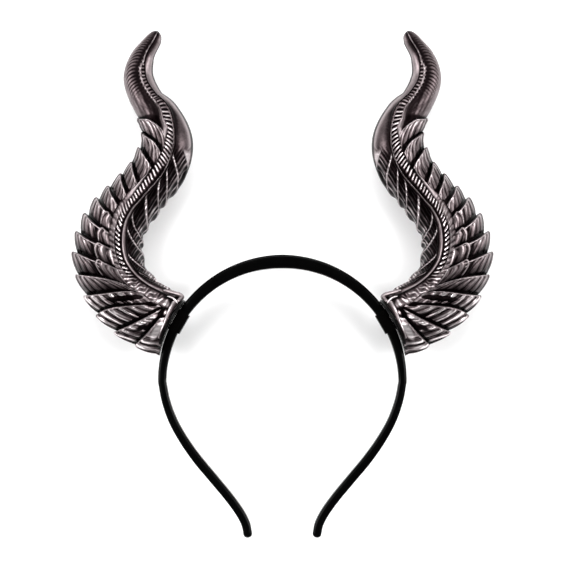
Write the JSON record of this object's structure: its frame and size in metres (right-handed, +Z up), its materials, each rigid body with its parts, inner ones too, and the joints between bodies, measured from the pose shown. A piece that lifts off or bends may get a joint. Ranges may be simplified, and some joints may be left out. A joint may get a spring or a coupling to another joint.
{
  "type": "ram horns headband",
  "caption": "Slim black headband that carries a pair of tall, curved, hollow ram horns with feathered outer flanks and ribbed spines, for costumes.",
  "frame": {"origin": "on the surface that the object lies on, below the middle of its outline", "axes": "+X to the wearer's left horn, which is at the right of the picture, +Y from the band's tips to the horn tips, +Z up, from the back of the worn object to its front"},
  "size_m": [0.2322, 0.2794, 0.0386],
  "materials": {
    "band_plastic": "satin black",
    "fitting_plastic": "satin black",
    "horn_finish": "antiqued pewter coating on moulded plastic, dark in the hollows and bright on the edges"
  },
  "bodies": {
    "root": {"headband": "band_plastic", "horn_right": "horn_finish", "horn_left": "horn_finish", "base_plate_right": "fitting_plastic", "base_plate_left": "fitting_plastic", "clip_right": "fitting_plastic", "clip_left": "fitting_plastic"}
  },
  "joints": []
}
